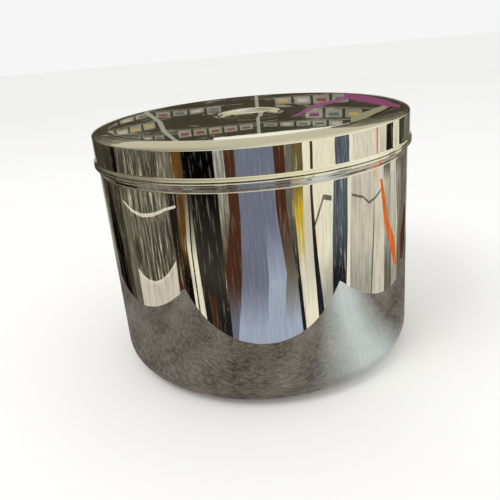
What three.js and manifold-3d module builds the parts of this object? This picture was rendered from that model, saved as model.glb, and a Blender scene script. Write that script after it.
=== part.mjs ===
// Round stainless steel spice box (masala dabba) in two tiers. Millimetres, +Z up.
// The origin is the centre of the base, on the plane the box stands on.
import * as THREE from "three";
import { mergeVertices } from "three/addons/utils/BufferGeometryUtils.js";
import Module from "manifold-3d";

const wasm = await Module();
wasm.setup();

// ---- Driving dimensions -------------------------------------------------------------------
const GAP = 0.3; // between pieces that touch
const ROUND = 48; // facets around the large pieces
const CUP_ROUND = 18; // facets around a cup

const WALL_R = 98; // outer radius of the box wall and of the neck under the lid
const SHELL_T = 0.9; // sheet of the box
const BASE_CORNER = 14.7; // outer radius of the rounded bottom edge
const BASE_RAISE = 1.2; // push-up of the middle of the base
const BASE_RAISE_R = 52;
const BEAD_R = 100.45; // outer radius of the stop bead and of the lid's hem
const BEAD_TOP = 136.6; // the hem of the lid rests here
const BEAD_H = 5.6; // height of the bead with the flare below it
const NECK_TOP = 147.4; // rim of the box, where the tray's flange rests

const LID_TOP = 155.4;
const LID_T = 0.8; // sheet of the lid
const SKIRT_R = 99.2; // outer radius of the lid's skirt
const SHOULDER_W = 13; // the lid's top curves down to its skirt over this width
const SHOULDER_H = 2.6;
const HEM_H = 2.1; // height of the rolled hem
const RECESS_R = 19; // round pressed recess in the middle of the lid
const RECESS_DEPTH = 1.6;

const TRAY_T = 0.8; // sheet of the drop-in tray
const TRAY_R = 95.5; // outer radius of its wall
const TRAY_CORNER = 8;
const TRAY_BASE = 63.2; // underside of its floor
const FLANGE_R = 97.6; // both inner flanges end here, inside the lid's skirt

const COVER_T = 0.8; // sheet of the dished inner lid
const COVER_R = TRAY_R - TRAY_T - 0.9; // outer radius of its dish
const COVER_BASE = 126.2; // underside of its plate
const COVER_CORNER = 5;

const CUP_R = 30.2; // outer radius at the rim's bead
const CUP_WALL_R = 29.6;
const CUP_FOOT_R = 28.4; // outer radius of the wall where the base rounding starts
const CUP_H = 50;
const CUP_T = 0.8;
const CUP_CORNER = 6;
const CUPS_AROUND = 6;
const CUP_RING_R = 62.6; // from the middle cup's centre to the others

const RING_R = 9; // centre line of the ring pull
const WIRE_R = 1.2;
const STRAP_W = 6;
const STRAP_T = 0.9;
const STRAP_FOOT = 8.8; // from the hinge axis to the end of a foot
const STRAP_INNER_R = 2.1;
const RIVET_Y = 6; // from the hinge axis to a rivet
const RIVET_R = 1.2;

const SPOON_Y = 46; // from the centre line of the box to a spoon
const SPOON_BOWL_R = 12;
const SPOON_DEPTH = 6.4;
const SPOON_LENGTH = 92;
const SPOON_T = 1;
const SPOON_HANDLE_W = 6;
const SPOON_BOWL_X = 34; // from the centre line to the middle of a spoon's bowl

// ---- Materials ----------------------------------------------------------------------------
function steel(color, roughness) {
  return new THREE.MeshStandardMaterial({ color, roughness, metalness: 1 });
}
const MIRROR_STEEL = steel(0xcfcbc0, 0.06);
const SATIN_STEEL = steel(0xbfbdb7, 0.3);
const CUP_STEEL = steel(0xcac8c1, 0.16);
const WIRE_STEEL = steel(0xc4c4c2, 0.2);
const RIVET_STEEL = steel(0xb2b2b0, 0.35);
const SPOON_STEEL = steel(0xcdccc8, 0.14);

// ---- Helpers ------------------------------------------------------------------------------
const point = (r, z) => new THREE.Vector2(r, z);

// Points of a round corner, both ends included. Angles are in degrees from +r towards +z. The
// corner is oval where its height differs from its radius.
function arc(r, z, radius, from, to, steps, height = radius) {
  return Array.from({ length: steps + 1 }, (_, i) => {
    const a = THREE.MathUtils.degToRad(from + ((to - from) * i) / steps);
    return point(r + radius * Math.cos(a), z + height * Math.sin(a));
  });
}

// A turned piece about +Z. LatheGeometry turns about Y, so the result is stood up.
function turned(profile, facets = ROUND) {
  return new THREE.LatheGeometry(profile, facets).rotateX(Math.PI / 2);
}

function toSolid(geometry) {
  const bare = geometry.clone();
  bare.deleteAttribute("normal");
  bare.deleteAttribute("uv");
  const merged = mergeVertices(bare, 1e-4);
  const triVerts = merged.index.array;
  const vertProperties = merged.attributes.position.array;
  return new wasm.Manifold(new wasm.Mesh({ numProp: 3, vertProperties, triVerts }));
}

function toGeometry(solid) {
  const { numProp, vertProperties, triVerts } = solid.getMesh();
  const places = new Float32Array((vertProperties.length / numProp) * 3);
  for (let i = 0; i * 3 < places.length; i++) {
    places.set(vertProperties.subarray(i * numProp, i * numProp + 3), i * 3);
  }
  const geometry = new THREE.BufferGeometry();
  geometry.setAttribute("position", new THREE.BufferAttribute(places, 3));
  geometry.setIndex(new THREE.BufferAttribute(new Uint32Array(triVerts), 1));
  geometry.computeVertexNormals();
  return geometry;
}

// A short upright cylinder, as a cutter or a rivet's part.
function disc(radius, low, high, facets = 12) {
  const height = high - low;
  return new THREE.CylinderGeometry(radius, radius, height, facets)
    .rotateX(Math.PI / 2)
    .translate(0, 0, low + height / 2);
}

const spiceBox = new THREE.Group();

function place(name, geometry, material, x = 0, y = 0, z = 0, parent = spiceBox) {
  const mesh = new THREE.Mesh(geometry, material);
  mesh.name = name;
  mesh.position.set(x, y, z);
  parent.add(mesh);
}

// ---- Box and outer lid --------------------------------------------------------------------
// Deep-drawn can: raised middle of the base, round corner, straight wall, stop bead and neck.
function boxBody() {
  const inner = WALL_R - SHELL_T;
  const flare = BEAD_TOP - BEAD_H;
  return turned([
    point(0, BASE_RAISE),
    point(BASE_RAISE_R - 2, BASE_RAISE),
    point(BASE_RAISE_R, 0),
    ...arc(WALL_R - BASE_CORNER, BASE_CORNER, BASE_CORNER, -90, 0, 5),
    point(WALL_R, flare),
    point(WALL_R + 1.3, flare + BEAD_H * 0.43),
    point(BEAD_R - 0.2, BEAD_TOP - 1.7),
    point(BEAD_R, BEAD_TOP - 0.8),
    point(BEAD_R - 0.5, BEAD_TOP),
    point(WALL_R, BEAD_TOP),
    point(WALL_R, NECK_TOP - 0.3),
    point(WALL_R - 0.3, NECK_TOP),
    point(inner + 0.2, NECK_TOP),
    point(inner, NECK_TOP - 0.3),
    ...arc(WALL_R - BASE_CORNER, BASE_CORNER, BASE_CORNER - SHELL_T, 0, -90, 5),
    point(BASE_RAISE_R + 0.3, SHELL_T),
    point(BASE_RAISE_R - 1.7, BASE_RAISE + SHELL_T),
    point(0, BASE_RAISE + SHELL_T),
  ]);
}

// Flat top with a pressed recess, oval shoulder, skirt and rolled hem.
function outerLid() {
  const hemLow = BEAD_TOP + GAP;
  const skirtInner = SKIRT_R - LID_T;
  const shoulderR = SKIRT_R - SHOULDER_W;
  const shoulderZ = LID_TOP - SHOULDER_H;
  const under = LID_TOP - LID_T;
  return turned([
    point(0, under - RECESS_DEPTH),
    point(RECESS_R - 1.6, under - RECESS_DEPTH),
    point(RECESS_R + 0.6, under),
    ...arc(shoulderR, shoulderZ, SHOULDER_W - LID_T, 90, 0, 5, SHOULDER_H - LID_T),
    point(skirtInner, hemLow + 0.4),
    point(skirtInner + 0.4, hemLow),
    point(BEAD_R - 0.3, hemLow),
    point(BEAD_R, hemLow + 0.3),
    point(BEAD_R - 0.15, hemLow + HEM_H * 0.4),
    point(SKIRT_R, hemLow + HEM_H),
    ...arc(shoulderR, shoulderZ, SHOULDER_W, 0, 90, 5, SHOULDER_H),
    point(RECESS_R + 0.6, LID_TOP),
    point(RECESS_R - 1.2, LID_TOP - RECESS_DEPTH),
    point(0, LID_TOP - RECESS_DEPTH),
  ]);
}

// ---- Drop-in tray and dished inner lid ----------------------------------------------------
// A pan that hangs by its flange: base is its underside, shelf the underside of the flange.
function flangedPan(radius, sheet, corner, base, shelf) {
  const inner = radius - sheet;
  return [
    point(0, base),
    ...arc(radius - corner, base + corner, corner, -90, 0, 3),
    point(radius, shelf),
    point(FLANGE_R - 0.3, shelf),
    point(FLANGE_R, shelf + sheet / 2),
    point(FLANGE_R - 0.3, shelf + sheet),
    point(inner, shelf + sheet),
    ...arc(radius - corner, base + corner, corner - sheet, 0, -90, 3),
    point(0, base + sheet),
  ];
}

const TRAY_SHELF = NECK_TOP + GAP;
const COVER_SHELF = TRAY_SHELF + TRAY_T + GAP;
const COVER_TOP = COVER_BASE + COVER_T; // the plate that the ring pull and the spoons lie on

function dropInTray() {
  return turned(flangedPan(TRAY_R, TRAY_T, TRAY_CORNER, TRAY_BASE, TRAY_SHELF));
}

function innerLid() {
  let cover = toSolid(
    turned(flangedPan(COVER_R, COVER_T, COVER_CORNER, COVER_BASE, COVER_SHELF)),
  );
  for (const side of [-1, 1]) {
    const hole = disc(RIVET_R + GAP, COVER_BASE - 1, COVER_TOP + 1);
    cover = cover.subtract(toSolid(hole.translate(0, side * RIVET_Y, 0)));
  }
  return toGeometry(cover);
}

// ---- Ring pull, its strap and rivets ------------------------------------------------------
const HINGE_Z = COVER_TOP + GAP + 0.1 + WIRE_R;

// The wire ring lies flat on the cover and turns about the X axis line through y = 0.
function ringPull() {
  return new THREE.TorusGeometry(RING_R, WIRE_R, 8, 22);
}

// A strip bent over the wire, with a flat foot on each side, extruded along X.
function ringStrap() {
  const foot = COVER_TOP + GAP;
  const outer = STRAP_INNER_R + STRAP_T;
  const strip = new THREE.Shape([
    point(-STRAP_FOOT, foot),
    point(-STRAP_INNER_R, foot),
    ...arc(0, HINGE_Z, STRAP_INNER_R, 180, 0, 8),
    point(STRAP_INNER_R, foot),
    point(STRAP_FOOT, foot),
    point(STRAP_FOOT, foot + STRAP_T),
    point(outer + 0.6, foot + STRAP_T),
    ...arc(0, HINGE_Z, outer, 12, 168, 8),
    point(-outer - 0.6, foot + STRAP_T),
    point(-STRAP_FOOT, foot + STRAP_T),
  ]);
  const bent = new THREE.ExtrudeGeometry(strip, { depth: STRAP_W, bevelEnabled: false });
  // The shape's x, y and depth become the box's Y, Z and X.
  const turn = new THREE.Matrix4().makeBasis(
    new THREE.Vector3(0, 1, 0),
    new THREE.Vector3(0, 0, 1),
    new THREE.Vector3(1, 0, 0),
  );
  let strap = toSolid(bent.applyMatrix4(turn).translate(-STRAP_W / 2, 0, 0));
  for (const side of [-1, 1]) {
    const hole = disc(RIVET_R + GAP, foot - 1, foot + STRAP_T + 1);
    strap = strap.subtract(toSolid(hole.translate(0, side * RIVET_Y, 0)));
  }
  return toGeometry(strap);
}

// Round head above the strap, shank through both sheets, set tail below the inner lid.
function rivet() {
  const head = COVER_TOP + GAP + STRAP_T + GAP;
  const tail = COVER_BASE - GAP;
  return turned(
    [
      point(0, tail - 0.5),
      point(2, tail - 0.5),
      point(2.2, tail),
      point(RIVET_R, tail),
      point(RIVET_R, head),
      point(2.4, head),
      point(2.1, head + 0.6),
      point(1.2, head + 1),
      point(0, head + 1.1),
    ],
    12,
  );
}

// ---- Cups and spoons ----------------------------------------------------------------------
// Small straight bowl with a rounded base and a beaded rim. Its foot is at z = 0.
function spiceCup() {
  const cornerR = CUP_FOOT_R - CUP_CORNER;
  return turned(
    [
      point(0, 0),
      ...arc(cornerR, CUP_CORNER, CUP_CORNER, -90, 0, 2),
      point(CUP_WALL_R, CUP_H - 1.8),
      point(CUP_R, CUP_H - 1.1),
      point(CUP_R - 0.2, CUP_H),
      point(CUP_WALL_R - CUP_T, CUP_H - 0.2),
      ...arc(cornerR, CUP_CORNER, CUP_CORNER - CUP_T, 0, -90, 2),
      point(0, CUP_T),
    ],
    CUP_ROUND,
  );
}

// A tier of cups: one in the middle, the others around it.
function placeCups(tier, standsOn) {
  const geometry = spiceCup();
  place(tier + "_cup_centre", geometry, CUP_STEEL, 0, 0, standsOn + GAP);
  for (let i = 0; i < CUPS_AROUND; i++) {
    const a = (i * 2 * Math.PI) / CUPS_AROUND;
    const x = CUP_RING_R * Math.cos(a);
    const y = CUP_RING_R * Math.sin(a);
    place(tier + "_cup_" + (i + 1), geometry, CUP_STEEL, x, y, standsOn + GAP);
  }
}

// Dished bowl with a flat handle. The bowl's centre is x = y = 0 and its underside z = 0;
// the handle runs along +X and comes down to the plane that the bowl lies on.
function spoon() {
  const ball = (SPOON_BOWL_R ** 2 + SPOON_DEPTH ** 2) / (2 * SPOON_DEPTH);
  const half = THREE.MathUtils.radToDeg(Math.asin(SPOON_BOWL_R / ball));
  const bowl = turned(
    [
      ...arc(0, ball, ball, -90, -90 + half, 5),
      ...arc(0, ball, ball - SPOON_T, -90 + half, -90, 5),
    ],
    20,
  );
  const neck = SPOON_BOWL_R - 1.2;
  const end = SPOON_LENGTH - SPOON_BOWL_R;
  const rim = SPOON_DEPTH - 0.2;
  const top = new THREE.CubicBezierCurve(
    point(neck, rim),
    point(end * 0.45, rim + 2.4),
    point(end * 0.75, rim + 0.6),
    point(end, SPOON_T),
  ).getPoints(6);
  const under = top.map((p) => point(p.x, p.y - SPOON_T)).reverse();
  const side = new THREE.Shape([...top, ...under]);
  const handle = new THREE.ExtrudeGeometry(side, { depth: SPOON_HANDLE_W, bevelEnabled: false })
    .rotateX(Math.PI / 2)
    .translate(0, SPOON_HANDLE_W / 2, 0);
  return toGeometry(toSolid(bowl).add(toSolid(handle)));
}

// ---- Assembly -----------------------------------------------------------------------------
place("box_body", boxBody(), MIRROR_STEEL);
placeCups("lower", BASE_RAISE + SHELL_T);
place("drop_in_tray", dropInTray(), SATIN_STEEL);
placeCups("upper", TRAY_BASE + TRAY_T);
place("inner_lid", innerLid(), SATIN_STEEL);
place("ring_pull", ringPull(), WIRE_STEEL, 0, RING_R, HINGE_Z);
place("ring_strap", ringStrap(), SATIN_STEEL);
place("strap_rivet_front", rivet(), RIVET_STEEL, 0, -RIVET_Y, 0);
place("strap_rivet_rear", rivet(), RIVET_STEEL, 0, RIVET_Y, 0);
for (const [name, side] of [["front_spoon", -1], ["rear_spoon", 1]]) {
  const bench = new THREE.Group(); // each handle points away from the other's
  bench.rotation.z = side > 0 ? Math.PI : 0;
  spiceBox.add(bench);
  place(name, spoon(), SPOON_STEEL, -SPOON_BOWL_X, -SPOON_Y, COVER_TOP + GAP, bench);
}
place("outer_lid", outerLid(), MIRROR_STEEL);

export default spiceBox;
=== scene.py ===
import math

import bpy
from mathutils import Matrix, Vector


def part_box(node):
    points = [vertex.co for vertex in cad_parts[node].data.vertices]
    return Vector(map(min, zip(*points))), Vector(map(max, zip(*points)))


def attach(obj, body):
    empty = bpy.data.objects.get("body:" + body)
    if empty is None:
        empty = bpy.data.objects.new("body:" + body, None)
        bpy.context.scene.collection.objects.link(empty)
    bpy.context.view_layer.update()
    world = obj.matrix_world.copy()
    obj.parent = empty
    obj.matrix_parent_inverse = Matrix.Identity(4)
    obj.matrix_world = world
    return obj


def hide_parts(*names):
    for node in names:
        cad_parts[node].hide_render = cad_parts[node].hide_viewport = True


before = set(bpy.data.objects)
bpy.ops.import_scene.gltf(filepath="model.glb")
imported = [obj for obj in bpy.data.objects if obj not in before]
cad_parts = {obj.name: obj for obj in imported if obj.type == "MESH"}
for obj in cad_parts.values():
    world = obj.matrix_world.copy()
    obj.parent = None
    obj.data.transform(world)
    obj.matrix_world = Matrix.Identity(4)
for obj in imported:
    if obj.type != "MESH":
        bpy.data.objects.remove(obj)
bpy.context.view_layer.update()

MM = 0.001

# ---- Sizes taken from the CAD boxes ---------------------------------------------------------
BEAD_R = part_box("box_body")[1].x  # stop bead and lid hem
NECK_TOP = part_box("box_body")[1].z
LID_LOW, LID_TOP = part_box("outer_lid")[0].z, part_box("outer_lid")[1].z
TRAY_LOW, TRAY_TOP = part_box("drop_in_tray")[0].z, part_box("drop_in_tray")[1].z
COVER_LOW, COVER_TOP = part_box("inner_lid")[0].z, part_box("inner_lid")[1].z
FLANGE_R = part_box("drop_in_tray")[1].x

# ---- Sizes of the sheet work, in millimetres like the drawing they repeat ---------------------
WALL_R = BEAD_R - 2.45 * MM
BEAD_TOP = LID_LOW - 0.3 * MM
SHEET = 0.8 * MM
BOX_SHEET = 0.9 * MM
BASE_CORNER = 14.7 * MM
BASE_RAISE = 1.2 * MM
BASE_RAISE_R = 52 * MM
SKIRT_R = WALL_R + 1.2 * MM
SHOULDER_W, SHOULDER_H = 13 * MM, 2.6 * MM  # the lid's top curves down to its skirt
RECESS_R = 19 * MM
RECESS_DEPTH = 1.6 * MM
TRAY_R = 95.5 * MM
TRAY_CORNER = 8 * MM
COVER_R = 93.8 * MM
COVER_CORNER = 5 * MM
PLATE = COVER_LOW + SHEET  # top of the inner lid's plate
CUP_R = 30.2 * MM
CUP_WALL_R = 29.6 * MM
CUP_FOOT_R = 28.4 * MM
CUP_CORNER = 6 * MM
CUP_H = 50 * MM
RING_R = 9 * MM
WIRE_R = 1.2 * MM
STRAP_HALF = 3 * MM
STRAP_T = 0.9 * MM
STRAP_FOOT = 8.8 * MM
STRAP_INNER_R = 2.1 * MM
RIVET_Y = 6 * MM
SPOON_BOWL_R = 12 * MM
SPOON_DEPTH = 6.4 * MM
SPOON_LENGTH = 92 * MM
SPOON_T = 1 * MM

FINE, MEDIUM = 256, 96  # facets around large and small turned pieces


# ---- Mesh helpers ---------------------------------------------------------------------------
def arc(r, z, radius, start, end, steps, height=None):
    """Points of a round corner, or of an oval one of this height, both ends included. Angles are
    in degrees from +r towards +z."""
    height = radius if height is None else height
    turns = (math.radians(start + (end - start) * i / steps) for i in range(steps + 1))
    return [(r + radius * math.cos(a), z + height * math.sin(a)) for a in turns]


def new_object(name, points, faces, at=(0, 0, 0), smooth_angle=40):
    mesh = bpy.data.meshes.new(name)
    mesh.from_pydata(points, [], faces)
    mesh.validate()
    mesh.shade_smooth()
    mesh.set_sharp_from_angle(angle=math.radians(smooth_angle))
    made = bpy.data.objects.new(name, mesh)
    made.location = at
    bpy.context.scene.collection.objects.link(made)
    return made


def turned(name, profile, facets=FINE, at=(0, 0, 0), smooth_angle=40):
    """A closed turned piece. The profile starts and ends on the axis, outside first."""
    points, rings = [], []
    for r, z in profile:
        if r < 1e-7:
            rings.append([len(points)] * facets)
            points.append((0, 0, z))
            continue
        rings.append(range(len(points), len(points) + facets))
        for i in range(facets):
            a = 2 * math.pi * i / facets
            points.append((r * math.cos(a), r * math.sin(a), z))
    faces = []
    for low, high in zip(rings, rings[1:]):
        for i in range(facets):
            j = (i + 1) % facets
            quad = [low[i], low[j], high[j], high[i]]
            face = [p for k, p in enumerate(quad) if p not in quad[:k]]
            if len(face) > 2:
                faces.append(face)
    return new_object(name, points, faces, at, smooth_angle)


def stand_for(piece, node, body, material):
    """The piece takes a CAD node's place on that node's body."""
    piece.data.materials.clear()
    piece.data.materials.append(material)
    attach(piece, body)
    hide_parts(node)
    return piece


# ---- Node helpers ---------------------------------------------------------------------------
class Nodes:
    """A material's node tree, with its surface socket and short ways to add nodes."""

    def __init__(self, name):
        self.material = bpy.data.materials.new(name)
        self.material.use_nodes = True
        self.tree = self.material.node_tree
        self.tree.nodes.clear()
        self.output = self.add("ShaderNodeOutputMaterial")

    def add(self, kind, inputs=(), **settings):
        node = self.tree.nodes.new(kind)
        for key, value in settings.items():
            setattr(node, key, value)
        for key, value in dict(inputs).items():
            if isinstance(value, bpy.types.NodeSocket):
                self.tree.links.new(value, node.inputs[key])
            else:
                node.inputs[key].default_value = value
        return node

    def maths(self, operation, a, b=0.0, c=0.0):
        return self.add("ShaderNodeMath", {0: a, 1: b, 2: c}, operation=operation).outputs[0]

    def noise(self, vector, scale, detail=3.0, roughness=0.5):
        inputs = {"Vector": vector, "Scale": scale, "Detail": detail, "Roughness": roughness}
        return self.add("ShaderNodeTexNoise", inputs).outputs["Fac"]

    def span(self, value, low, high, to_low=0.0, to_high=1.0):
        inputs = {0: value, 1: low, 2: high, 3: to_low, 4: to_high}
        return self.add("ShaderNodeMapRange", inputs).outputs[0]

    def blend(self, share, a, b):
        mix = self.add("ShaderNodeMix", data_type="RGBA")
        for socket, value in ((mix.inputs[0], share), (mix.inputs[6], a), (mix.inputs[7], b)):
            if isinstance(value, bpy.types.NodeSocket):
                self.tree.links.new(value, socket)
            else:
                socket.default_value = value
        return mix.outputs[2]

    def place(self):
        """x, y and z sockets of the piece's own coordinates."""
        where = self.add("ShaderNodeTexCoord").outputs["Object"]
        return where, self.add("ShaderNodeSeparateXYZ", {0: where}).outputs

    def turned_place(self):
        """Radius, height and angle about the piece's axis, as a vector for turning marks."""
        where, (x, y, z) = self.place()
        radius = self.maths("SQRT", self.maths("ADD", self.maths("MULTIPLY", x, x),
                                               self.maths("MULTIPLY", y, y)))
        angle = self.maths("ARCTAN2", y, x)
        return where, radius, z, angle


def rgb(red, green, blue):
    """A screen colour from 0 to 255 as a linear shader colour."""
    return tuple((c / 255) ** 2.2 for c in (red, green, blue)) + (1.0,)


ACROSS_MARKS, ALONG_MARKS = 60.0, 0.35  # turning marks are fine across and long round the axis
DENTS_FADE = 3 * MM  # the dents fade out over this height


def steel(name, light, dark, smooth, rough, lines=0.0, wave=0.0, ripple=0.0, dents=0.0,
          dents_below=1.0):
    """Turned stainless steel. smooth and rough bound the roughness. In metres, lines is the depth
    of the turning marks, ripple of the small unevenness left by polishing, wave of the slow
    unevenness of the sheet, and dents of its shallow dents, which stay below a height."""
    n = Nodes(name)
    where, radius, height, angle = n.turned_place()
    along = n.add("ShaderNodeCombineXYZ", {0: n.maths("MULTIPLY", radius, ACROSS_MARKS),
                                           1: n.maths("MULTIPLY", height, ACROSS_MARKS),
                                           2: n.maths("MULTIPLY", angle, ALONG_MARKS)}).outputs[0]
    marks = n.noise(along, 55.0, 4.0, 0.65)
    smudges = n.noise(where, 38.0, 4.0, 0.6)
    slow = n.noise(where, 14.0, 1.5, 0.4)
    wear = n.maths("ADD", n.maths("MULTIPLY", smudges, 0.55), n.maths("MULTIPLY", marks, 0.45))
    tint = n.blend(n.span(n.maths("ADD", slow, n.maths("MULTIPLY", marks, 0.35)), 0.35, 0.95),
                   dark, light)
    relief = n.maths("ADD", n.maths("MULTIPLY", marks, lines), n.maths("MULTIPLY", slow, wave))
    if ripple:
        fine = n.noise(where, 190.0, 1.0, 0.5)
        relief = n.maths("ADD", relief, n.maths("MULTIPLY", fine, ripple))
    if dents:
        dent = n.maths("MULTIPLY", n.maths("SUBTRACT", n.noise(where, 60.0, 1.0, 0.4), 0.5), dents)
        side = n.span(height, dents_below - DENTS_FADE, dents_below, 1.0, 0.0)
        relief = n.maths("ADD", relief, n.maths("MULTIPLY", dent, side))
    bump = n.add("ShaderNodeBump", {"Strength": 1.0, "Distance": 1.0, "Height": relief})
    shader = n.add("ShaderNodeBsdfPrincipled", {
        "Base Color": tint, "Metallic": 1.0, "Normal": bump.outputs[0],
        "Roughness": n.span(wear, 0.38, 0.66, smooth, rough)})
    n.tree.links.new(shader.outputs[0], n.output.inputs[0])
    return n.material


MIRROR = steel("mirror_steel", rgb(236, 233, 226), rgb(226, 222, 212), 0.01, 0.03,
               lines=0.05e-6, wave=120e-6, ripple=2.2e-6, dents=14e-6)
LID_MIRROR = steel("lid_mirror_steel", rgb(238, 235, 227), rgb(228, 224, 213), 0.01, 0.03,
                   lines=0.05e-6, wave=40e-6, ripple=3.2e-6, dents=70e-6,
                   dents_below=LID_TOP - SHOULDER_H)
SATIN = steel("satin_steel", rgb(222, 220, 216), rgb(200, 198, 192), 0.2, 0.38,
              lines=4e-6, wave=20e-6)
CUP_STEEL = steel("cup_steel", rgb(230, 228, 223), rgb(212, 210, 204), 0.08, 0.24,
                  lines=2e-6, wave=30e-6)
SPOON_STEEL = steel("spoon_steel", rgb(232, 230, 226), rgb(216, 213, 208), 0.05, 0.16,
                    lines=1e-6, wave=20e-6)
WIRE_STEEL = steel("wire_steel", rgb(226, 226, 223), rgb(196, 195, 190), 0.1, 0.26, lines=2e-6)
RIVET_STEEL = steel("rivet_steel", rgb(206, 205, 202), rgb(170, 168, 164), 0.22, 0.42, lines=3e-6)


# ---- Box, lid, tray and inner lid -------------------------------------------------------------
def box_shell():
    """Drawn can: ringed base, round corner, straight wall, crease and flare, bead, neck, rim."""
    inner = WALL_R - BOX_SHEET
    corner = (WALL_R - BASE_CORNER, BASE_CORNER)
    flare = BEAD_TOP - 5.6 * MM
    rim = NECK_TOP - 0.45 * MM
    outside = [(0, BASE_RAISE), (18 * MM, BASE_RAISE)]
    outside += [(20 * MM, BASE_RAISE - 0.5 * MM), (22 * MM, BASE_RAISE)]  # pressed ring
    outside += [(BASE_RAISE_R - 2.2 * MM, BASE_RAISE), (BASE_RAISE_R - 1.5 * MM, BASE_RAISE - 0.2 * MM),
                (BASE_RAISE_R - 0.5 * MM, 0.2 * MM), (BASE_RAISE_R, 0)]
    outside += arc(*corner, BASE_CORNER, -90, 0, 20)
    outside += [(WALL_R, z) for z in (40 * MM, 80 * MM, 120 * MM, flare - 0.6 * MM)]
    outside += arc(WALL_R - 0.35 * MM, flare - 0.25 * MM, 0.35 * MM, 0, 62, 5)  # crease
    outside += [(WALL_R - 0.30 * MM, flare + 0.22 * MM), (WALL_R - 0.26 * MM, flare + 0.42 * MM),
                (WALL_R - 0.12 * MM, flare + 0.70 * MM), (WALL_R + 0.98 * MM, flare + 2.25 * MM),
                (WALL_R + 1.10 * MM, flare + 2.50 * MM), (WALL_R + 1.10 * MM, flare + 2.75 * MM)]
    outside += [(WALL_R + 1.12 * MM, flare + 3.05 * MM), (WALL_R + 1.25 * MM, flare + 3.3 * MM)]
    outside += arc(BEAD_R - 1.0 * MM, BEAD_TOP - 1.05 * MM, 1.0 * MM, -50, 90, 14)
    outside += [(WALL_R + 0.4 * MM, BEAD_TOP), (WALL_R + 0.1 * MM, BEAD_TOP + 0.1 * MM),
                (WALL_R, BEAD_TOP + 0.4 * MM)]
    fold = arc(WALL_R - 0.45 * MM, rim, 0.45 * MM, 0, 180, 10)
    inside = [(inner, 120 * MM), (inner, 60 * MM)]
    inside += arc(*corner, BASE_CORNER - BOX_SHEET, 0, -90, 20)
    inside += [(BASE_RAISE_R + 0.4 * MM, BOX_SHEET), (BASE_RAISE_R - 1.8 * MM, BASE_RAISE + BOX_SHEET),
               (0, BASE_RAISE + BOX_SHEET)]
    piece = turned("box_shell", outside + fold + inside)
    return stand_for(piece, "box_body", "box", MIRROR)


def lid_shell():
    """Pressed lid: round recess, flat top with faint rings, oval shoulder, skirt, sloping hem."""
    under = LID_TOP - SHEET
    inner = SKIRT_R - SHEET
    shoulder = (SKIRT_R - SHOULDER_W, LID_TOP - SHOULDER_H)
    hem_top = LID_LOW + 2.1 * MM
    sink = RECESS_DEPTH
    inside = [(0, under - sink), (RECESS_R - 1.8 * MM, under - sink),
              (RECESS_R - 0.9 * MM, under - sink * 0.8), (RECESS_R + 0.2 * MM, under - sink * 0.15),
              (RECESS_R + 1.0 * MM, under)]
    inside += arc(*shoulder, SHOULDER_W - SHEET, 90, 0, 16, SHOULDER_H - SHEET)
    inside += [(inner, LID_LOW + 0.5 * MM), (inner + 0.3 * MM, LID_LOW + 0.05 * MM)]
    hem = [(BEAD_R - 0.3 * MM, LID_LOW)]
    hem += arc(BEAD_R - 0.32 * MM, LID_LOW + 0.34 * MM, 0.32 * MM, -60, 15, 6)
    hem += [(BEAD_R - 0.10 * MM, LID_LOW + 0.62 * MM), (BEAD_R - 0.34 * MM, LID_LOW + 1.0 * MM),
            (BEAD_R - 0.66 * MM, LID_LOW + 1.38 * MM), (BEAD_R - 0.98 * MM, LID_LOW + 1.72 * MM),
            (SKIRT_R + 0.12 * MM, hem_top - 0.14 * MM), (SKIRT_R + 0.03 * MM, hem_top + 0.05 * MM),
            (SKIRT_R, hem_top + 0.35 * MM)]
    top = arc(*shoulder, SHOULDER_W, 0, 90, 32, SHOULDER_H)
    top += [(60 * MM, LID_TOP), (33 * MM, LID_TOP), (30 * MM, LID_TOP - 0.04 * MM),
            (27 * MM, LID_TOP), (24 * MM, LID_TOP - 0.05 * MM)]  # faint rings round the recess
    top += [(RECESS_R + 1.4 * MM, LID_TOP), (RECESS_R + 0.6 * MM, LID_TOP - 0.08 * MM),
            (RECESS_R + 0.1 * MM, LID_TOP - 0.3 * MM), (RECESS_R - 0.6 * MM, LID_TOP - sink * 0.78),
            (RECESS_R - 1.1 * MM, LID_TOP - sink * 0.95), (RECESS_R - 1.8 * MM, LID_TOP - sink),
            (0, LID_TOP - sink)]
    piece = turned("lid_shell", inside + hem + top)
    return stand_for(piece, "outer_lid", "lid", LID_MIRROR)


def pan(name, radius, corner, low, high):
    """A drawn pan that hangs by a flange with a folded edge; high is the top of the flange."""
    inner = radius - SHEET
    shelf = high - SHEET
    fold = SHEET / 2
    step = 0.3 * MM  # height of the ring pressed in the base
    ring = [(30 * MM, 0), (31 * MM, step), (33 * MM, step), (34 * MM, 0)]
    outside = [(0, low)] + [(r, low + z) for r, z in ring]
    outside += arc(radius - corner, low + corner, corner, -90, 0, 14)
    outside += arc(radius + 0.5 * MM, shelf - 0.5 * MM, 0.5 * MM, 180, 90, 5)
    outside += arc(FLANGE_R - fold, shelf + fold, fold, -90, 90, 8)
    inside = arc(inner + 0.6 * MM, high - 0.6 * MM, 0.6 * MM, 90, 180, 6)
    inside += arc(radius - corner, low + corner, corner - SHEET, 0, -90, 14)
    inside += [(r, low + SHEET + z) for r, z in reversed(ring)] + [(0, low + SHEET)]
    return turned(name, outside + inside)


# ---- Ring pull --------------------------------------------------------------------------------
HINGE_Z = PLATE + 0.4 * MM + WIRE_R


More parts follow.
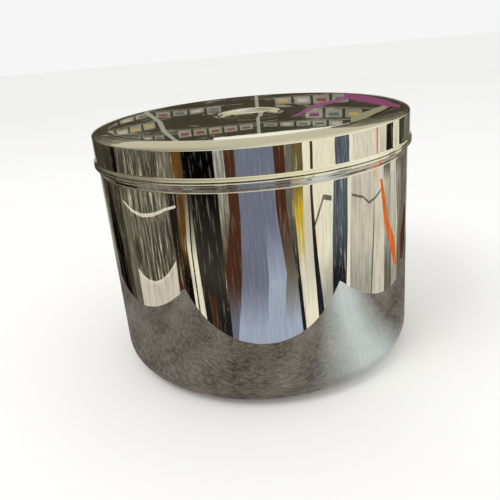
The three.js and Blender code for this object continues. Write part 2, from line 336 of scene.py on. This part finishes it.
def ring_wire():
    """Wire ring with a slightly swollen butt weld at its free side."""
    around, section = 96, 24
    weld_spread, weld_swell = 0.09, 0.04  # in radians, and as a share of the wire's radius
    points, faces = [], []
    for i in range(around):
        a = 2 * math.pi * i / around
        weld = math.exp(-(((a - math.pi / 2) / weld_spread) ** 2))
        wire = WIRE_R * (1 - weld_swell + weld_swell * weld)
        for j in range(section):
            b = 2 * math.pi * j / section
            r = RING_R + wire * math.cos(b)
            points.append((r * math.cos(a), r * math.sin(a), wire * math.sin(b)))
            k, m = (i + 1) % around, (j + 1) % section
            faces.append((i * section + j, k * section + j, k * section + m, i * section + m))
    piece = new_object("ring_wire", points, faces, at=(0, RING_R, HINGE_Z))
    return stand_for(piece, "ring_pull", "ring", WIRE_STEEL)


def ring_strap():
    """Strip bent over the wire, its feet rounded in plan, edges softened."""
    foot = PLATE + 0.3 * MM
    top = foot + STRAP_T
    outer = STRAP_INNER_R + STRAP_T
    side = [(-STRAP_FOOT, foot), (-STRAP_INNER_R - 1.2 * MM, foot)]
    side += arc(0, HINGE_Z, STRAP_INNER_R, 195, -15, 20)
    side += [(STRAP_INNER_R + 1.2 * MM, foot), (STRAP_FOOT, foot), (STRAP_FOOT, top)]
    side += [(outer + 1.1 * MM, top)] + arc(0, HINGE_Z, outer, 18, 162, 20)
    side += [(-outer - 1.1 * MM, top), (-STRAP_FOOT, top)]
    count, layers = len(side), 9
    points, faces = [], []
    for k in range(layers):
        share = 2 * k / (layers - 1) - 1
        pull = STRAP_HALF * (1 - math.sqrt(max(0, 1 - share * share * 0.9)))  # rounded foot ends
        for y, z in side:
            end = abs(y) > STRAP_FOOT - 0.01 * MM
            points.append((share * STRAP_HALF, y - math.copysign(pull * 0.6, y) * end, z))
    for k in range(layers - 1):
        for i in range(count):
            j = (i + 1) % count
            faces.append((k * count + i, k * count + j, (k + 1) * count + j, (k + 1) * count + i))
    faces.append(tuple(range(count))[::-1])
    faces.append(tuple(range((layers - 1) * count, layers * count)))
    piece = new_object("ring_strap_plate", points, faces, smooth_angle=35)
    soften = piece.modifiers.new("soft_edges", "BEVEL")
    soften.width, soften.segments, soften.limit_method = 0.12 * MM, 2, "ANGLE"
    return stand_for(piece, "ring_strap", "cover", RIVET_STEEL)


def rivet(node, y):
    """Domed head with the flat left by setting, shank, and spread tail under the plate."""
    head = PLATE + 0.3 * MM + STRAP_T
    tail = COVER_LOW - 0.3 * MM
    profile = [(0, tail - 0.5 * MM), (1.2 * MM, tail - 0.5 * MM)]
    profile += arc(1.7 * MM, tail, 0.5 * MM, -90, 0, 6) + [(2.2 * MM, tail + 0.2 * MM)]
    profile += [(1.2 * MM, tail + 0.25 * MM), (1.2 * MM, head - 0.02 * MM), (2.3 * MM, head - 0.02 * MM)]
    profile += arc(1.5 * MM, head + 0.42 * MM, 0.88 * MM, -20, 90, 10)
    profile += [(0.8 * MM, head + 1.36 * MM), (0, head + 1.37 * MM)]
    piece = turned(node + "_head", profile, 48, at=(0, y, 0))
    return stand_for(piece, node, "cover", RIVET_STEEL)


# ---- Cups and spoons --------------------------------------------------------------------------
def cup(node, body):
    """Small drawn bowl: pressed ring in the base, round corner, rolled rim."""
    low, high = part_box(node)
    corner = (CUP_FOOT_R - CUP_CORNER, CUP_CORNER)
    roll = 0.8 * MM
    below, above = 20 * MM, 36 * MM  # the wall bends outwards a little at these heights
    outside = [(0, 0.3 * MM), (11 * MM, 0.3 * MM), (12.2 * MM, 0)]
    outside += arc(*corner, CUP_CORNER, -90, 0, 12)
    outside += [(CUP_FOOT_R + 0.5 * MM, below), (CUP_WALL_R - 0.3 * MM, above),
                (CUP_WALL_R - 0.15 * MM, CUP_H - 2.6 * MM)]
    rim = arc(CUP_R - roll, CUP_H - roll, roll, -60, 180, 14)
    inside = [(CUP_WALL_R - SHEET - 0.2 * MM, CUP_H - 3 * MM),
              (CUP_WALL_R - SHEET - 0.35 * MM, above), (CUP_FOOT_R - SHEET + 0.45 * MM, below)]
    inside += arc(*corner, CUP_CORNER - SHEET, 0, -90, 12)
    inside += [(12.4 * MM, SHEET), (11.2 * MM, SHEET + 0.3 * MM), (0, SHEET + 0.3 * MM)]
    at = ((low.x + high.x) / 2, (low.y + high.y) / 2, low.z)
    piece = turned(node + "_bowl", outside + rim + inside, MEDIUM, at=at)
    return stand_for(piece, node, body, CUP_STEEL)


def spoon(node, body, turn):
    """Dished bowl and tapered handle as one pressed sheet, thickened to its gauge."""
    low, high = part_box(node)
    ball = (SPOON_BOWL_R**2 + SPOON_DEPTH**2) / (2 * SPOON_DEPTH)
    end = SPOON_LENGTH - SPOON_BOWL_R
    cap = end - 3 * MM  # the handle's end is round from here
    neck = SPOON_BOWL_R * 0.8  # the handle leaves the bowl here
    rim = SPOON_DEPTH - 0.3 * MM
    arch, tip = 2.6 * MM, 0.6 * MM  # rise of the handle's middle, and height of its end
    along, across = 120, 14
    bowl_rows = 0.4  # share of the rows from the bowl's front to its middle

    def half_width(x):
        """Half of the spoon's width, with x from the middle of the bowl towards the handle."""
        bowl = math.sqrt(max(0.0, SPOON_BOWL_R**2 - x * x)) if abs(x) < SPOON_BOWL_R else 0.0
        if x < 0:
            return bowl
        handle = (2.1 + 0.9 * max(0.0, x / end)) * MM
        if x > cap:
            handle *= math.sqrt(max(0.0, 1 - ((x - cap) / (end - cap)) ** 2))
        return max(bowl, handle)

    def height(x, y):
        """Height of the sheet: part of a ball in the bowl, and an arched, crowned handle."""
        if x < neck or math.hypot(x, y) < SPOON_BOWL_R * 0.97:
            return ball - math.sqrt(max(0.0, ball * ball - x * x - y * y))
        t = (x - neck) / (end - neck)
        crown = 0.12 * (y * y) / (3 * MM)
        return rim + arch * math.sin(math.pi * min(1, t) ** 0.8) - (rim - tip) * t**1.6 - crown

    points, faces = [], []
    for i in range(along + 1):
        share = i / along
        if share < bowl_rows:
            x = -SPOON_BOWL_R * math.cos(math.pi / 2 * share / bowl_rows)
        else:
            x = (share - bowl_rows) / (1 - bowl_rows) * end
        half = max(half_width(x), 0.05 * MM)
        for j in range(across + 1):
            y = half * (2 * j / across - 1)
            points.append((x, y, height(x, y)))
    for i in range(along):
        for j in range(across):
            a = i * (across + 1) + j
            faces.append((a, a + across + 1, a + across + 2, a + 1))
    piece = new_object(node + "_pressing", points, faces, smooth_angle=60)
    piece.rotation_euler = (0, 0, turn)
    reach = SPOON_BOWL_R if turn == 0 else end
    piece.location = (low.x + reach, (low.y + high.y) / 2, low.z)
    gauge = piece.modifiers.new("gauge", "SOLIDIFY")
    gauge.thickness, gauge.offset = SPOON_T, 1.0
    soften = piece.modifiers.new("soft_edges", "BEVEL")
    soften.width, soften.segments, soften.limit_method = 0.25 * MM, 2, "ANGLE"
    return stand_for(piece, node, body, SPOON_STEEL)


def build_object():
    box_shell()
    lid_shell()
    tray = pan("tray_pan", TRAY_R, TRAY_CORNER, TRAY_LOW, TRAY_TOP)
    stand_for(tray, "drop_in_tray", "tray", SATIN)
    dish = pan("cover_dish", COVER_R, COVER_CORNER, COVER_LOW, COVER_TOP)
    stand_for(dish, "inner_lid", "cover", SATIN)
    ring_wire()
    ring_strap()
    rivet("strap_rivet_front", -RIVET_Y)
    rivet("strap_rivet_rear", RIVET_Y)
    spoon("front_spoon", "spoon_front", 0.0)
    spoon("rear_spoon", "spoon_rear", math.pi)
    for node in sorted(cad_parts):
        if "_cup_" in node:
            cup(node, node)


# ---- Studio -----------------------------------------------------------------------------------
# The polish reflects what stands round the box, so the studio has cards that only it sees: a dull
# stand under the box, upright strips of card on the stand's edges, a dark wall with rows of small
# boxes far behind, and a soft cream dome over everything.
STAND = (-0.190, -0.170, 0.178, 0.198)  # low x, low y, high x, high y of the stand's top
CARD_TOP = 0.160
DOME_R = 1.8
BACK_Y = 1.0  # the far wall
FAR = 9  # further than any edge of the stand
FLOOR_HALF, FLOOR_DROP = 4.0, 0.2 * MM  # the floor lies just clear of the base

# Tones of the strips of card.
BLACK, SOOT, OLIVE, STONE = (8, 8, 6), (38, 36, 32), (64, 62, 50), (112, 108, 94)
PALE, CREAM, BEIGE, SAND = (168, 166, 158), (240, 236, 214), (210, 206, 192), (226, 220, 204)
GOLD, BROWN, BLUE, ICE = (100, 74, 42), (76, 50, 38), (112, 118, 138), (164, 176, 200)
YELLOW, ORANGE, SLATE, NIGHT = (216, 184, 50), (226, 112, 52), (96, 106, 118), (38, 38, 46)
KHAKI, COAL, DUST = (112, 100, 62), (62, 60, 56), (136, 132, 116)

# Strips of card: where each starts, in degrees from the camera's side towards +X, at each of the
# heights STRIP_LEVELS, its tone at the foot, in the middle, at the top and above that, and how
# streaky it is from 0 to 1.
STRIP_LEVELS = (0, 0.050, 0.095)
TONE_LEVELS = (0.012, 0.046, 0.090, 0.112)
STRIPS = [
    ((-180, -180, -180), (PALE, PALE, PALE, PALE), 0.5),
    ((-122, -124, -126), (STONE, STONE, OLIVE, OLIVE), 0.6),
    ((-115, -114, -109), (BLACK, BLACK, SOOT, OLIVE), 0.2),
    ((-94, -97, -102), (OLIVE, OLIVE, OLIVE, OLIVE), 0.4),
    ((-88, -88, -87), (STONE, STONE, STONE, BLACK), 0.5),
    ((-80, -80, -82), (STONE, STONE, DUST, STONE), 1.0),
    ((-51, -51, -51), (BROWN, SOOT, SOOT, STONE), 0.5),
    ((-46, -47, -44), (BLACK, GOLD, GOLD, GOLD), 0.5),
    ((-40, -41, -38), (CREAM, CREAM, STONE, GOLD), 0.3),
    ((-38, -38.5, -36), (SOOT, SOOT, SOOT, SOOT), 0.3),
    ((-37, -37.5, -35), (CREAM, CREAM, OLIVE, BLACK), 0.2),
    ((-33, -34.5, -34), (SOOT, COAL, SOOT, BLACK), 0.25),
    ((-20, -19, -18), (NIGHT, BROWN, DUST, PALE), 0.7),
    ((-18, -18, -13), (BLUE, BROWN, BROWN, BROWN), 0.15),
    ((-15, -10, -8), (ICE, BLUE, BLUE, BLUE), 0.15),
    ((0, 3, 3), (ICE, ICE, BLUE, BLUE), 0.15),
    ((8, 12, 9), (ICE, STONE, BROWN, BROWN), 0.15),
    ((19, 17, 14), (NIGHT, NIGHT, STONE, STONE), 0.4),
    ((21, 19, 18), (CREAM, SAND, YELLOW, KHAKI), 0.4),
    ((24, 22.5, 23), (CREAM, BEIGE, BEIGE, CREAM), 0.1),
    ((29, 27.5, 27), (NIGHT, SOOT, BROWN, BROWN), 0.2),
    ((33, 30, 28.5), (PALE, CREAM, CREAM, CREAM), 0.2),
    ((40, 41, 43.5), (NIGHT, SLATE, SLATE, SLATE), 0.6),
    ((50, 51.5, 52), (CREAM, CREAM, CREAM, CREAM), 0.1),
    ((52, 53, 54), (PALE, BEIGE, BEIGE, SAND), 0.3),
    ((66, 68, 69), (STONE, STONE, BEIGE, ORANGE), 0.1),
    ((67, 69, 70), (BEIGE, SAND, SAND, SAND), 0.3),
    ((78, 78, 77), (STONE, PALE, BEIGE, SOOT), 0.6),
    ((86, 86, 84), (PALE, BEIGE, BEIGE, CREAM), 0.5),
    ((95, 96, 92), (STONE, STONE, PALE, OLIVE), 0.6),
    ((104, 104, 102), (STONE, STONE, STONE, STONE), 0.5),
    ((126, 126, 128), (BEIGE, PALE, PALE, PALE), 0.5),
]

# Plain shapes stuck on the strips: tone, and pairs of points (degrees, metres up) along both sides.
PATCHES = [
    (BEIGE, [(-80, 0, -80, 0.031), (-76, 0, -76, 0.0255), (-71, 0, -71, 0.0215),
             (-66, 0, -66, 0.0195), (-61, 0, -61, 0.0195), (-56, 0, -56, 0.022),
             (-51, 0, -51, 0.027)]),
    (SAND, [(-80, 0.031, -80, 0.034), (-76, 0.0255, -76, 0.0285), (-71, 0.0215, -71, 0.0245),
            (-66, 0.0195, -66, 0.0225), (-61, 0.0195, -61, 0.0225), (-56, 0.022, -56, 0.025),
            (-51, 0.027, -51, 0.030)]),
    (SAND, [(-84, 0.088, -84, 0.090), (-77, 0.0815, -77, 0.084), (-69, 0.077, -69, 0.080),
            (-61, 0.0755, -61, 0.0785), (-53, 0.0755, -53, 0.078), (-46, 0.077, -46, 0.079)]),
    (YELLOW, [(18.5, 0.112, 18.5, 0.118), (22, 0.112, 22, 0.120)]),
    (BROWN, [(-29, 0.002, -29, 0.026), (-25, 0.002, -25, 0.030)]),
    (STONE, [(29, 0.073, 29, 0.077), (35, 0.087, 35, 0.091), (41, 0.079, 41, 0.083)]),
    (STONE, [(54, 0.080, 54, 0.082), (61, 0.080, 61, 0.082), (65, 0.076, 65, 0.078),
             (70, 0.080, 70, 0.082), (75, 0.086, 75, 0.088)]),
    (ORANGE, [(73.5, 0.094, 75.5, 0.094), (77.5, 0.060, 82, 0.060), (82, 0.044, 90, 0.042),
              (90, 0.018, 95, 0.015)]),
    (BROWN, [(103, 0.012, 103, 0.034), (110, 0.006, 110, 0.046), (116, 0.008, 116, 0.050),
             (123, 0.014, 123, 0.040)]),
]
PATCH_GAP = 0.985  # how far towards the box the patches stand, as a share of the strips' distance

# The far wall, dark at its foot and dusky at its top.
DARK, DUSK = (70, 66, 54), (150, 146, 126)
WALL_X, WALL_FOOT, WALL_H = 0.9, 0.2, 0.160
SIDE_X, SIDE_Y, SIDE_FOOT, SIDE_TOP = 1.1, -0.4, 0.16, 0.85  # it comes forward on the left
RISE_FOOT = 0.36  # its parts that stand up start here

# Tops of the parts of the far wall that stand up on its left and on its right: x and z.
LEFT_RISE = ((-0.90, 0.85), (-0.56, 0.70), (-0.45, 0.60), (-0.36, 0.50), (-0.27, 0.42), (-0.19, 0.37))
RIGHT_RISE = ((0.20, 0.44), (0.30, 0.60), (0.36, 0.68), (0.56, 0.76), (0.90, 0.82))

# Rows of boxes on the far wall: x and z of the row's two lower corners, height, and the tones of
# the boxes' blank labels from left to right.
MAROON, OCHRE, ASH = (128, 72, 66), (176, 148, 92), (92, 94, 96)
PLUM, BONE = (118, 66, 100), (178, 172, 156)
ROWS = [
    (-0.345, 0.334, -0.205, 0.336, 0.010, (BONE, BONE, ASH, BONE, ASH)),
    (-0.175, 0.327, 0.010, 0.317, 0.019, (MAROON, MAROON, MAROON, MAROON, MAROON)),
    (0.030, 0.319, 0.225, 0.337, 0.014, (ASH, BONE, ASH, ASH, BONE)),
    (-0.355, 0.316, -0.222, 0.300, 0.015, (OCHRE, BONE, OCHRE, OCHRE)),
    (0.130, 0.298, 0.272, 0.313, 0.022, (PLUM, ASH, OCHRE)),
    (-0.350, 0.296, -0.230, 0.274, 0.010, (ASH, BONE, ASH)),
    (-0.222, 0.277, -0.060, 0.284, 0.013, (MAROON, ASH, BONE, ASH)),
    (0.060, 0.270, 0.240, 0.268, 0.024, (OCHRE, BONE, MAROON, ASH)),
]
BOX_TONE, SHELF_TONE, POST_TONE = (140, 140, 126), (132, 130, 116), (152, 153, 142)
SHELF_REACH = 0.3  # how far a shelf runs on past its row, as a share of the row

# Two posts on the far wall: an upright one, and a bent one by x and z of its joints.
UPRIGHT = (0.016, 0.22, 0.024, 0.22, 0.132, 0.132)
POST = ((-0.245, 0.235), (-0.240, 0.275), (-0.212, 0.302), (-0.205, 0.325), (-0.178, 0.356))
POST_HALF = 0.006

# Slanting strips on the far wall, and one that is almost level: x and z of the two lower corners,
# the heights over them, tone, and how far each stands out.
SLANTS = [
    (0.10, 0.306, 0.235, 0.276, 0.004, 0.010, (136, 84, 116), 0.008),
    (0.225, 0.262, 0.40, 0.300, 0.020, 0.032, (130, 74, 108), 0.009),
    (0.24, 0.330, 0.33, 0.304, 0.022, 0.010, (142, 138, 112), 0.007),
    (0.29, 0.330, 0.42, 0.300, 0.008, 0.020, (60, 30, 22), 0.008),
    (-0.09, 0.352, 0.24, 0.349, 0.012, 0.014, (236, 238, 224), 0.010),
]


def only_reflected(card):
    """Seen in polish, and never directly, in light or as a shadow."""
    card.visible_camera = False
    card.visible_diffuse = False
    card.visible_shadow = False
    card.visible_transmission = False
    card.visible_volume_scatter = False
    return card


def glow(name, colour_of, strength=1.0):
    """A card that shines with the colour that colour_of(nodes) returns."""
    n = Nodes(name)
    light = n.add("ShaderNodeEmission", {"Color": colour_of(n), "Strength": strength})
    n.tree.links.new(light.outputs[0], n.output.inputs[0])
    return n.material


def card(name, points, faces, material):
    """A glowing sheet of one material."""
    piece = new_object(name, points, faces)
    piece.data.materials.append(material)
    return only_reflected(piece)


def painted(name, quads, streaks_along):
    """Flat quads that glow, each with its own colours and streakiness at its corners."""
    points = [p for corners, _ in quads for p in corners]
    faces = [tuple(range(4 * i, 4 * i + 4)) for i in range(len(quads))]
    mesh = bpy.data.meshes.new(name)
    mesh.from_pydata(points, [], faces)
    tint = mesh.color_attributes.new("tint", "FLOAT_COLOR", "CORNER")
    colours = [c for _, tints in quads for c in tints]
    for corner, (colour, streaks) in zip(tint.data, colours):
        corner.color = rgb(*colour)[:3] + (streaks,)
    piece = bpy.data.objects.new(name, mesh)
    bpy.context.scene.collection.objects.link(piece)

    def colour(n):
        paint = n.add("ShaderNodeVertexColor", layer_name="tint")
        fine = n.noise(streaks_along(n), 3.2, 4.0, 0.7)
        dark = n.maths("MULTIPLY", n.span(fine, 0.46, 0.56, 0.0, 0.8), paint.outputs["Alpha"])
        light = n.maths("MULTIPLY", n.span(fine, 0.43, 0.35, 0.0, 0.75), paint.outputs["Alpha"])
        darkened = n.blend(dark, paint.outputs["Color"], rgb(34, 32, 26))
        return n.blend(light, darkened, rgb(225, 222, 206))

    mesh.materials.append(glow(name, colour, 1.12))
    return only_reflected(piece)


def along_strips(n):
    """Noise coordinates for upright streaks round the box."""
    _, (x, y, z) = n.place()
    angle = n.maths("ARCTAN2", x, n.maths("MULTIPLY", y, -1.0))
    return n.add("ShaderNodeCombineXYZ", {0: n.maths("MULTIPLY", angle, 16.0),
                                          1: n.maths("MULTIPLY", z, 9.0)}).outputs[0]


def along_wall(n):
    """Noise coordinates for soft shading along the far wall."""
    _, (x, _, z) = n.place()
    return n.add("ShaderNodeCombineXYZ", {0: n.maths("MULTIPLY", x, 3.0),
                                          1: n.maths("MULTIPLY", z, 14.0)}).outputs[0]


def on_stand_edge(angle, z):
    """The point above the stand's edge in this direction from the box's axis."""
    low_x, low_y, high_x, high_y = STAND
    x, y = math.sin(math.radians(angle)), -math.cos(math.radians(angle))
    reach = min((high_x if x > 0 else low_x) / x if abs(x) > 1e-9 else FAR,
                (high_y if y > 0 else low_y) / y if abs(y) > 1e-9 else FAR)
    return (x * reach, y * reach, z)


def mix(a, b, share):
    """The point this share of the way from a to b."""
    return tuple(p + (q - p) * share for p, q in zip(a, b))


def between(levels, values, level):
    """Value at this level on the straight lines joining the listed ones."""
    for low, high, value, value2 in zip(levels, levels[1:], values, values[1:]):
        if level <= high:
            share = max(0, (level - low) / (high - low))
            return mix(value, value2, share)
    return values[-1]


def strip_quads():
    """The strips as small quads, so that their edges bend and their tones change with height."""
    quads, step, width = [], 0.005, 2  # metres up, and degrees
    levels = [i * step for i in range(round(CARD_TOP / step) + 1)]
    ends = STRIPS[1:] + [((180, 180, 180), None, 0)]
    for (starts, tones, streaks), (next_starts, *_) in zip(STRIPS, ends):
        columns = max(1, math.ceil((next_starts[0] - starts[0]) / width))
        rows = []
        for level in levels:
            a = between(STRIP_LEVELS, [(v,) for v in starts], level)[0]
            b = between(STRIP_LEVELS, [(v,) for v in next_starts], level)[0]
            points = [on_stand_edge(a + (b - a) * i / columns, level) for i in range(columns + 1)]
            rows.append((points, (between(TONE_LEVELS, tones, level), streaks)))
        for (low, low_tint), (high, high_tint) in zip(rows, rows[1:]):
            for i in range(columns):
                corners = [low[i], low[i + 1], high[i + 1], high[i]]
                quads.append((corners, (low_tint, low_tint, high_tint, high_tint)))
    for tone, pairs in PATCHES:
        sides = [[(PATCH_GAP * x, PATCH_GAP * y, z) for x, y, z in
                  (on_stand_edge(*pair[:2]), on_stand_edge(*pair[2:]))] for pair in pairs]
        for (a, b), (c, d) in zip(sides, sides[1:]):
            quads.append(([a, c, d, b], [(tone, 0.3)] * 4))
    return quads


def flat_quad(x, z, x2, z2, height, height2, colour, nearer=0.0, streaks=0.0):
    """A quad flat on the far wall, or this much nearer, with its upper corners at two heights."""
    y = BACK_Y - nearer
    corners = [(x, y, z), (x2, y, z2), (x2, y, z2 + height2), (x, y, z + height)]
    return corners, [(colour, streaks)] * 4


def shaded_quad(corners, streaks):
    """A quad that goes from DARK at its foot to DUSK at its top."""
    return corners, [(DARK, streaks)] * 2 + [(DUSK, streaks)] * 2


def row_quads(x, z, x2, z2, height, labels):
    """A shelf with its row of boxes, each with a plain label in its middle."""
    start, end = (x, z), (x2, z2)
    left, right = mix(start, end, -SHELF_REACH), mix(start, end, 1 + SHELF_REACH)
    drop = 0.003
    quads = [flat_quad(left[0], left[1] - drop, right[0], right[1] - drop, 0.001, 0.002,
                       SHELF_TONE, 0.002)]
    for i, label in enumerate(labels):
        a, b = (i + 0.06) / len(labels), (i + 0.90) / len(labels)
        left, right = mix(start, end, a), mix(start, end, b)
        quads.append(flat_quad(*left, *right, height, height, BOX_TONE, 0.003, 0.3))
        inset = 0.2 * (b - a)
        left, right = mix(start, end, a + inset), mix(start, end, b - inset)
        up, label_h = height * 0.4, height * 0.36
        quads.append(flat_quad(left[0], left[1] + up, right[0], right[1] + up, label_h, label_h,
                               label, 0.004))
    return quads


def back_wall_quads():
    """Dark wall with shelves of boxes, two posts and a few slanting strips."""
    quads = [flat_quad(-WALL_X, WALL_FOOT, WALL_X, WALL_FOOT, WALL_H, WALL_H, DARK, streaks=0.25)]
    quads.append(shaded_quad([(-WALL_X, BACK_Y, SIDE_FOOT), (-SIDE_X, SIDE_Y, SIDE_FOOT),
                              (-SIDE_X, SIDE_Y, SIDE_TOP), (-WALL_X, BACK_Y, SIDE_TOP)], 0.5))
    for outline in (LEFT_RISE, RIGHT_RISE):
        for (x, z), (x2, z2) in zip(outline, outline[1:]):
            quads.append(shaded_quad([(x, BACK_Y, RISE_FOOT), (x2, BACK_Y, RISE_FOOT),
                                      (x2, BACK_Y, z2), (x, BACK_Y, z)], 0.6))
    for row in ROWS:
        quads += row_quads(*row)
    quads.append(flat_quad(*UPRIGHT, POST_TONE, POST_HALF))
    for (x, z), (x2, z2) in zip(POST, POST[1:]):
        corners = [(x - POST_HALF, z), (x + POST_HALF, z), (x2 + POST_HALF, z2), (x2 - POST_HALF, z2)]
        quads.append(([(u, BACK_Y - POST_HALF, v) for u, v in corners], [(POST_TONE, 0.0)] * 4))
    quads += [flat_quad(*slant) for slant in SLANTS]
    return quads


def stand_colour(n):
    """Dull grey-brown, mottled and grained, with a painted pool of pale light towards its front right.
    """
    where, (x, y, _) = n.place()
    stretched = n.add("ShaderNodeMapping", {"Vector": where, "Scale": (1.0, 3.0, 1.0)}).outputs[0]
    grain = n.noise(stretched, 130.0, 6.0, 0.75)
    cloud = n.noise(where, 16.0, 4.0, 0.6)
    both = n.maths("ADD", n.maths("MULTIPLY", grain, 0.6), n.maths("MULTIPLY", cloud, 0.4))
    mottled = n.blend(n.span(both, 0.38, 0.62), rgb(70, 66, 62), rgb(142, 136, 130))
    # painted light: a soft pale bluish pool of light on the stand towards its front right, broken up by
    # the mottle
    along = n.maths("ADD", n.maths("MULTIPLY", x, 0.74), n.maths("MULTIPLY", y, -0.67))
    aside = n.maths("ADD", n.maths("MULTIPLY", x, 0.67), n.maths("MULTIPLY", y, 0.74))
    painted_light_pool = n.maths("MULTIPLY", n.span(n.maths("ABSOLUTE", aside), 0.010, 0.062, 1.0, 0.0),
                   n.span(along, 0.06, 0.11, 0.0, 0.95))
    uneven_light_pool = n.maths("MULTIPLY", painted_light_pool, n.span(both, 0.3, 0.6, 0.72, 1.0))
    return n.blend(uneven_light_pool, mottled, rgb(214, 226, 228))


def dome_colour(n):
    """Cream light, brightest in front and to the right, greyer on the left, neutral overhead."""
    _, (x, y, z) = n.place()
    side = n.blend(n.span(x, -1.2, 0.9), rgb(150, 146, 130), rgb(250, 248, 228))
    front = n.blend(n.span(y, -0.2, -1.5), side, rgb(244, 240, 206))
    back = n.blend(n.span(y, 0.3, 1.2), front, rgb(196, 192, 168))
    high = n.blend(n.span(x, -0.9, 0.3), rgb(140, 134, 108), rgb(214, 209, 176))
    over = n.blend(n.span(x, -0.6, 0.5), rgb(150, 152, 154), rgb(226, 227, 228))
    return n.blend(n.span(z, 1.62, 1.72), n.blend(n.span(z, 1.1, 1.7), back, high), over)


def build_studio():
    low_x, low_y, high_x, high_y = STAND
    corners = [(low_x, low_y), (high_x, low_y), (high_x, high_y), (low_x, high_y)]
    card("stand_top", [(x, y, 0.2 * MM) for x, y in corners], [(0, 1, 2, 3)],
         glow("stand", stand_colour))
    painted("card_strips", strip_quads(), along_strips)
    painted("back_wall", back_wall_quads(), along_wall)
    around, up = 64, 16
    dome = [(0, 0, DOME_R)]
    for j in range(1, up + 1):
        tilt = math.pi / 2 * j / up
        r, z = DOME_R * math.sin(tilt), DOME_R * math.cos(tilt)
        for i in range(around):
            a = 2 * math.pi * i / around
            dome.append((r * math.cos(a), r * math.sin(a), z))
    faces = [(0, 1 + i, 1 + (i + 1) % around) for i in range(around)]
    for j in range(up - 1):
        for i in range(around):
            a, b = 1 + j * around + i, 1 + j * around + (i + 1) % around
            faces.append((a, a + around, b + around, b))
    card("dome", dome, faces, glow("dome", dome_colour, 1.06))
    build_floor()


def build_floor():
    """Plain pale floor, which the polish doesn't see."""
    signs = [(-1, -1), (1, -1), (1, 1), (-1, 1)]
    corners = [(FLOOR_HALF * x, FLOOR_HALF * y, -FLOOR_DROP) for x, y in signs]
    floor = new_object("floor", corners, [(0, 1, 2, 3)])
    floor.visible_glossy = False
    n = Nodes("pale_floor")
    where, _ = n.place()
    pale = n.blend(n.noise(where, 3.0), rgb(250, 250, 249), rgb(246, 246, 245))
    matt = n.add("ShaderNodeBsdfPrincipled", {"Base Color": pale, "Roughness": 0.9})
    n.tree.links.new(matt.outputs[0], n.output.inputs[0])
    floor.data.materials.append(n.material)


def soft_light(name, at, size, power):
    """A round soft light that points at the box and that the polish doesn't see."""
    light = bpy.data.lights.new(name, "AREA")
    light.shape, light.size, light.energy = "DISK", size, power
    light.color = (1.0, 0.985, 0.95)
    lamp = bpy.data.objects.new(name, light)
    lamp.location = at
    lamp.rotation_euler = (-Vector(at)).to_track_quat("-Z", "Y").to_euler()
    lamp.visible_glossy = False
    bpy.context.scene.collection.objects.link(lamp)


def build_lights():
    world = bpy.data.worlds.new("studio")
    bpy.context.scene.world = world
    world.use_nodes = True
    background = world.node_tree.nodes["Background"].inputs
    background["Color"].default_value = (1.0, 1.0, 1.0, 1.0)
    background["Strength"].default_value = 0.92
    soft_light("key_light", (-0.5, -0.5, 1.1), 0.5, 4.0)
    bpy.context.scene.view_settings.view_transform = "Standard"


# ---- Camera -----------------------------------------------------------------------------------
def build_camera():
    """A hand-held camera close to the box, looking down on it and rolled a little."""
    distance = 4.054 * WALL_R
    height = 0.624 * WALL_R
    down = math.radians(21.70)
    yaw = math.radians(-1.05)
    roll = math.radians(-4.77)
    camera = bpy.data.objects.new("camera", bpy.data.cameras.new("camera"))
    camera.data.lens = 40.86
    camera.data.clip_start = 0.01
    place = Vector((0, -distance * math.cos(down), height + distance * math.sin(down)))
    ahead = Vector((0, math.cos(down), -math.sin(down)))
    right = Vector((1, 0, 0))
    up = right.cross(ahead)
    ahead, right = (math.cos(yaw) * ahead + math.sin(yaw) * right,
                    math.cos(yaw) * right - math.sin(yaw) * ahead)
    right, up = (math.cos(roll) * right + math.sin(roll) * up,
                 math.cos(roll) * up - math.sin(roll) * right)
    turn = Matrix((right, up, -ahead)).transposed()
    camera.matrix_world = Matrix.Translation(place) @ turn.to_4x4()
    bpy.context.scene.collection.objects.link(camera)
    bpy.context.scene.camera = camera


build_camera()
build_object()
build_studio()
build_lights()
